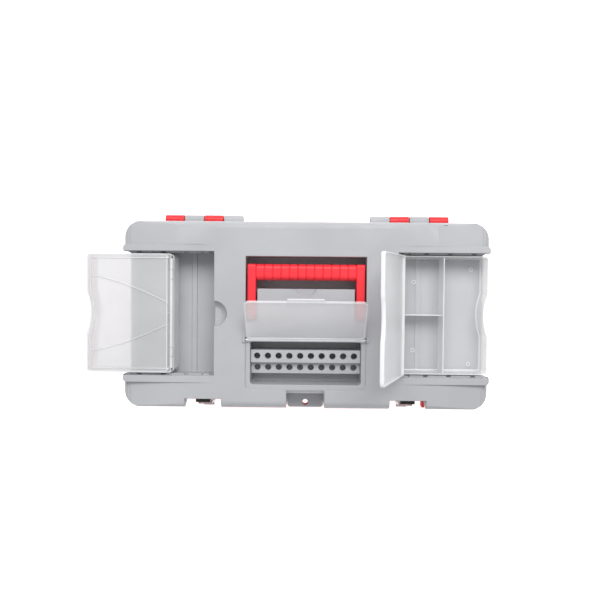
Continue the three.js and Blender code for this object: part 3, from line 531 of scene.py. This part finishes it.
def paint_edge_light(obj, closed=Matrix.Identity(4), smallest=300e-6):
    """Gives a clear piece's walls, rims and rounded edges the milkier second material, painted light for
    their brighter look when seen edge-on.
    """
    back = closed.inverted().to_3x3()
    for face in obj.data.polygons:
        broad = abs((back @ face.normal).z) > 0.97 and face.area > smallest
        face.material_index = 0 if broad else 1


def divider(box, name, drop, span, to_space):
    """An upright plate with rounded edges from the floor to drop under the rim."""
    half = DIVIDER["half"]
    floor = box.low + TRAY["wall"]
    top = box.low + TRAY["height"]
    section = rounded_rect(-half, half, floor - DIVIDER["sunk"], top - drop, half * 0.95, 4)
    box.put(skin(box.name + name, [(section, span[0]), (section, span[1])], to_space), edge=True)


def build_tray(box):
    top = box.low + TRAY["height"]
    rings = bowl_rings(organizer_outline(box.length, box.half), box.low, top, TRAY["wall"],
                       TRAY["floor_fillet"], TRAY["foot"])
    shell = skin(box.name + "_shell", rings, box.point)
    box.put(shell, box.name + "_tray")
    paint_edge_light(shell)
    wall = TRAY["wall"] / 2
    at = DIVIDER["at"]
    divider(box, "_divider", DIVIDER["drop"], (-box.half + wall, box.half - wall),
            lambda u, w, v: box.point(at + u, v, w))
    divider(box, "_cross_divider", DIVIDER["cross_drop"], (wall, at), lambda v, w, u: box.point(u, v, w))
    for i, (u, v) in enumerate(RING_MARKS):
        ring = arc(u * MM, v * MM, RING["radius"], 0, 360, 24)
        path = [box.point(a, b, box.low + TRAY["wall"] + RING["rise"]) for a, b in ring]
        box.put(tube(f"{box.name}_mark_{i}", path, RING["bead"], 8), edge=True)
    for v in (-LUG["at"], LUG["at"]):
        build_tray_lug(box, v, top)


def build_tray_lug(box, v, top):
    """A hinge lug: an eye on a sloping foot."""
    u = abs(box.hinge.x - box.start)
    z = box.hinge.z
    foot = top - LUG["foot_drop"]
    profile = [(LUG["foot"], foot), (u + LUG["lean"], foot)] + arc(u, z, LUG["eye"], -20, 150, 10)
    profile += [(LUG["foot"], z - LUG["shoulder"])]
    rings = prism_rings(profile, v - LUG["half"], v + LUG["half"], LUG["round"])
    name = f"{box.name}_lug_{'front' if v < 0 else 'rear'}"
    box.put(skin(name, rings, lambda a, w, b: box.point(a, b, w)), edge=True)


def ridge(box, name, points, turn):
    bead = turned(tube(name, [box.point(*p) for p in points], RIDGE["radius"], 8), turn)
    box.put(bead, part="_lid", edge=True)


def rim_rings(loop, low, top, wall, radius):
    """Loops down the inside, round the lower edge and up the outside of a hanging rim."""
    outer = [(inset(loop, i), low + d) for i, d in rounding(radius)]
    inner = [(inset(loop, wall - i), low + d) for i, d in rounding(radius)]
    return [(inset(loop, wall), top)] + inner[::-1] + outer + [(loop, top)]


def ray(box, hinge_u, side, top):
    """The course of a curved ridge from the hinge side of a lid towards its outer corner."""
    start = hinge_u + RAY["inner"]
    end = box.length - RAY["outer"]
    curve = []
    for i in range(RAY["steps"] + 1):
        t = i / RAY["steps"]
        v = side * (RAY["start"] + RAY["spread"] * (1 - (1 - t) ** RAY["bend"])) * MM
        curve.append((start + (end - start) * t, v, top))
    return curve


def build_lid(box, turn):
    node = box.name + "_lid"
    hinge_u = abs(box.hinge.x - box.start)
    z = box.hinge.z
    outline = organizer_outline(box.length, box.half)
    plate_loop = [(max(u, hinge_u), v) for u, v in outline]
    plate_rings = prism_rings(plate_loop, z, z + PLATE["thick"], PLATE["round"])
    plate = turned(skin(node + "_plate", plate_rings, box.point), turn)
    box.put(plate, node, part="_lid")
    paint_edge_light(plate, turn)
    skirt_loop = [(max(u, hinge_u + SKIRT["start"]), v) for u, v in outline]
    rings = rim_rings(skirt_loop, z - SKIRT["drop"], z + SKIRT["lap"], SKIRT["wall"], SKIRT["round"])
    box.put(turned(skin(node + "_skirt", rings, box.point), turn), part="_lid", edge=True)
    radius = KNUCKLE["radius"]
    for i, (v0, v1) in enumerate(KNUCKLE["spans"]):
        barrel = rounded_rect(hinge_u - radius, hinge_u + radius, z - radius, z + radius, radius - BARELY)
        rings = prism_rings(barrel, v0 * MM, v1 * MM, KNUCKLE["round"])
        knuckle = skin(f"{node}_knuckle_{i}", rings, lambda a, w, b: box.point(a, b, w))
        box.put(turned(knuckle, turn), part="_lid", edge=True)
    top = z + radius
    border = inset(plate_loop, RIDGE["border"])
    ridge(box, node + "_border", [(u, v, top) for u, v in border + border[:1]], turn)
    for side in (-1, 1):
        ridge(box, f"{node}_ray_{side + 1}", ray(box, hinge_u, side, top), turn)


def build_organizers():
    for side in ("left", "right"):
        box = Organizer(side)
        build_tray(box)
        limits = JOINTS[box.name + "_lid_hinge"]["range_deg"]
        opened = -limits[0] if abs(limits[0]) > abs(limits[1]) else 0
        build_lid(box, rest_turn(box.name + "_lid_hinge", opened))


# ---------------------------------------------------------------- bit cover

COVER_PLATE = {"reach": 74 * MM, "low": -1.5 * MM, "high": 0.5 * MM, "corner": 8 * MM, "round": 0.6 * MM}
COVER_RIM = {"in": 1 * MM, "hinge_gap": 3 * MM, "corner": 7 * MM, "low": -2.2 * MM, "high": -1.2 * MM,
             "wall": 2 * MM, "round": 0.5 * MM}
COVER_TAB = {"half": 27 * MM, "past": 4 * MM, "lap": 8 * MM, "corner": 3 * MM, "low": -1.7 * MM,
             "high": 0.7 * MM, "round": 0.6 * MM}
COVER_BARREL = {"radius": 2.8 * MM, "round": 0.5 * MM}
COVER_RAY = {"start": 38.3, "spread": 22.4, "bend": 1.3, "from": 4, "run": 64, "steps": 12,
             "height": 0.6 * MM, "radius": 0.9 * MM}


def cover_ray(side, point):
    """The course of a curved ridge over the cover, from its hinge to its free edge."""
    curve = []
    for i in range(COVER_RAY["steps"] + 1):
        t = i / COVER_RAY["steps"]
        u = side * (COVER_RAY["start"] + COVER_RAY["spread"] * t ** COVER_RAY["bend"]) * MM
        curve.append(point(u, -(COVER_RAY["from"] + COVER_RAY["run"] * t) * MM, COVER_RAY["height"]))
    return curve


def build_cover():
    joint = JOINTS["cover_hinge"]
    turn = rest_turn("cover_hinge", -joint["range_deg"][0])
    axis = Vector(joint["pos_m"])
    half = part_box("bit_cover")[1].x

    def point(u, v, w):
        return Vector((u, axis.y + v, axis.z + w))

    def put(obj, *nodes, edge=True):
        # Pieces put with edge get the milkier copy, painted light for the cover's rims and edges seen
        # edge-on.
        materials = [COVER_PAINTED_EDGE_LIGHT if edge else COVER, COVER_PAINTED_EDGE_LIGHT]
        return place(turned(obj, turn), "bit_cover", "clear_plastic", materials, *nodes)

    reach = COVER_PLATE["reach"]
    outline = rounded_rect(-half, half, -reach, 0, COVER_PLATE["corner"])
    rings = prism_rings(outline, COVER_PLATE["low"], COVER_PLATE["high"], COVER_PLATE["round"])
    plate = put(skin("bit_cover_plate", rings, point), "bit_cover", edge=False)
    paint_edge_light(plate, turn)
    edge_in = COVER_RIM["in"]
    loop = rounded_rect(-half + edge_in, half - edge_in, -reach + edge_in, -COVER_RIM["hinge_gap"],
                        COVER_RIM["corner"])
    rings = rim_rings(loop, COVER_RIM["low"], COVER_RIM["high"], COVER_RIM["wall"], COVER_RIM["round"])
    put(skin("bit_cover_rim", rings, point))
    tab = rounded_rect(-COVER_TAB["half"], COVER_TAB["half"], -reach - COVER_TAB["past"],
                       -reach + COVER_TAB["lap"], COVER_TAB["corner"])
    rings = prism_rings(tab, COVER_TAB["low"], COVER_TAB["high"], COVER_TAB["round"])
    put(skin("bit_cover_tab", rings, point))
    radius = COVER_BARREL["radius"]
    barrel = rounded_rect(-radius, radius, -radius, radius, radius - BARELY)
    rings = prism_rings(barrel, -half, half, COVER_BARREL["round"])
    put(skin("bit_cover_barrel", rings, lambda v, w, u: point(u, v, w)))
    for side in (-1, 1):
        put(tube(f"bit_cover_ray_{side + 1}", cover_ray(side, point), COVER_RAY["radius"], 8))


# ---------------------------------------------------------------- lid and bin details

def build_bails():
    for side in ("left", "right"):
        node = f"latch_{side}_bail"
        obj = add_object(node + "_wire", mesh_copy(node, node + "_wire", FINE_WELD))
        rounder = obj.modifiers.new("round", "SUBSURF")
        rounder.levels = 2
        apply_modifiers(obj)
        place(smooth(obj, 80), node, "bright_steel", [STEEL], node)


SNAP = {"in": 8 * MM, "drop": 16 * MM, "sink": 1 * MM, "flat": 0.55}
SNAP_STEPS = ((5.5, 0.0), (5.2, 1.6), (4.4, 2.4), (2.5, 3.0))     # half length, height off the wall
RAIL = {"drop": 13 * MM, "tall": 5 * MM, "sink": 0.5 * MM, "out": 2.4 * MM, "gap": 3.2 * MM,
        "corner": 0.8 * MM, "round": 0.6 * MM, "breaks": (11, 38, 73, 109), "end_gap": 3 * MM}
BAY_GAP = 4 * MM                   # from a tray's side to the wall of its bay


def snap_bump(name, wall, face, z, lid_point):
    rings = []
    for half, height in SNAP_STEPS:
        r = half * MM
        loop = rounded_rect(-r, r, -r * SNAP["flat"], r * SNAP["flat"], r * 0.5)
        rings.append((loop, face + wall * SNAP["sink"] - wall * height * MM))
    bump_skin = skin(name, rings, lambda u, w, v: lid_point(SNAP["in"] + u, v, z + w))
    place(bump_skin, "lid", "grey_plastic", [GREY])


def guide_rails(name, wall, face, length, z, lid_point):
    """A rail along one side wall, broken into stretches."""
    reach = sorted((face + wall * RAIL["sink"], face - wall * RAIL["out"]))
    stops = [0.0] + [g * MM for g in RAIL["breaks"]] + [length - RAIL["end_gap"]]
    for k, (start, end) in enumerate(zip(stops, stops[1:])):
        plan = rounded_rect(start + RAIL["gap"], end - RAIL["gap"], reach[0], reach[1], RAIL["corner"], 4)
        rings = prism_rings(plan, z - RAIL["tall"], z, RAIL["round"])
        place(skin(f"{name}_{k}", rings, lid_point), "lid", "grey_plastic", [GREY])


def bay_details():
    """Snap bumps and guide rails in both bays, measured from the right tray, which is stored shut."""
    tray = Organizer("right")
    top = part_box("lid_shell")[1].z
    for side, sign in (("left", -1), ("right", 1)):

        def lid_point(u, v, w):
            return Vector((sign * (tray.start + u), tray.middle + v, w))

        for wall in (-1, 1):
            face = wall * (tray.half + BAY_GAP)
            snap_bump(f"snap_{side}_{wall + 1}", wall, face, top - SNAP["drop"], lid_point)
            guide_rails(f"guide_{side}_{wall + 1}", wall, face, tray.length, top - RAIL["drop"], lid_point)


# Nodes whose pieces are built from outlines or, for the bails, from a subdivided copy.
DONE = {"handle", "bit_cover", "latch_left_bail", "latch_right_bail"}
DONE |= {f"organizer_{side}_{part}" for side in ("left", "right") for part in ("tray", "lid")}
build_handle()
build_organizers()
build_cover()
build_bails()
bay_details()
plain_nodes(DONE)


# ---------------------------------------------------------------- stage, light, camera

FLOOR_SIZE = 60.0
FLOOR_GLOW = 0.65


def pale_floor():
    mesh = bpy.data.meshes.new("floor")
    work = bmesh.new()
    bmesh.ops.create_grid(work, x_segments=1, y_segments=1, size=FLOOR_SIZE / 2)
    work.to_mesh(mesh)
    work.free()
    floor = add_object("floor", mesh)
    material, _, _, shader, _ = new_material("floor_white")
    shader.inputs["Emission Color"].default_value = (1, 1, 1, 1)
    shader.inputs["Emission Strength"].default_value = FLOOR_GLOW
    shader.inputs["Base Color"].default_value = (0.93, 0.93, 0.93, 1)
    shader.inputs["Roughness"].default_value = 0.9
    mesh.materials.append(material)


def area_light(name, place_at, aim_at, size, power):
    light = bpy.data.lights.new(name, "AREA")
    light.shape = "RECTANGLE"
    light.size, light.size_y = size
    light.energy = power
    obj = bpy.data.objects.new(name, light)
    obj.location = place_at
    obj.rotation_euler = (Vector(aim_at) - Vector(place_at)).to_track_quat("-Z", "Y").to_euler()
    bpy.context.scene.collection.objects.link(obj)


def soft_world(zenith, horizon):
    """A white sky that dims towards the horizon, so plated steel shows dark edges."""
    world = bpy.data.worlds.new("studio")
    world.use_nodes = True
    nodes, links = world.node_tree.nodes, world.node_tree.links
    background = nodes["Background"]
    background.inputs["Color"].default_value = (1, 1, 1, 1)
    split = nodes.new("ShaderNodeSeparateXYZ")
    links.new(nodes.new("ShaderNodeTexCoord").outputs["Generated"], split.inputs[0])
    strength = ramp(nodes, links, split.outputs["Z"], horizon, zenith, 0.0, 0.5)
    links.new(strength, background.inputs["Strength"])
    bpy.context.scene.world = world


def camera_above(stand, target, lens, roll):
    data = bpy.data.cameras.new("camera")
    data.sensor_width = 36
    data.lens = lens
    data.clip_end = 50
    camera = bpy.data.objects.new("camera", data)
    forward = (Vector(target) - Vector(stand)).normalized()
    right = forward.cross(Vector((0, 1, 0))).normalized()
    up = right.cross(forward)
    turn = Matrix((right, up, -forward)).transposed()
    camera.matrix_world = Matrix.Translation(stand) @ (turn @ Matrix.Rotation(roll, 3, "Z")).to_4x4()
    bpy.context.scene.collection.objects.link(camera)
    bpy.context.scene.camera = camera


LID_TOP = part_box("lid_shell")[1].z
KEY = {"stand": (0.1, 1.1, 1.9), "aim": (0, 0, 0.25), "size": (1.9, 0.9), "power": 34}
VIEW = {"stand": (0.0, 0.0454, LID_TOP + 0.9), "aim": (-0.0089, 0.0232, LID_TOP), "lens": 36.5,
        "roll": math.radians(0.5)}
ZENITH, HORIZON = 0.66, 0.25
pale_floor()
soft_world(ZENITH, HORIZON)
area_light("key", KEY["stand"], KEY["aim"], KEY["size"], KEY["power"])
camera_above(VIEW["stand"], VIEW["aim"], VIEW["lens"], VIEW["roll"])
bpy.context.scene.view_settings.view_transform = "Standard"
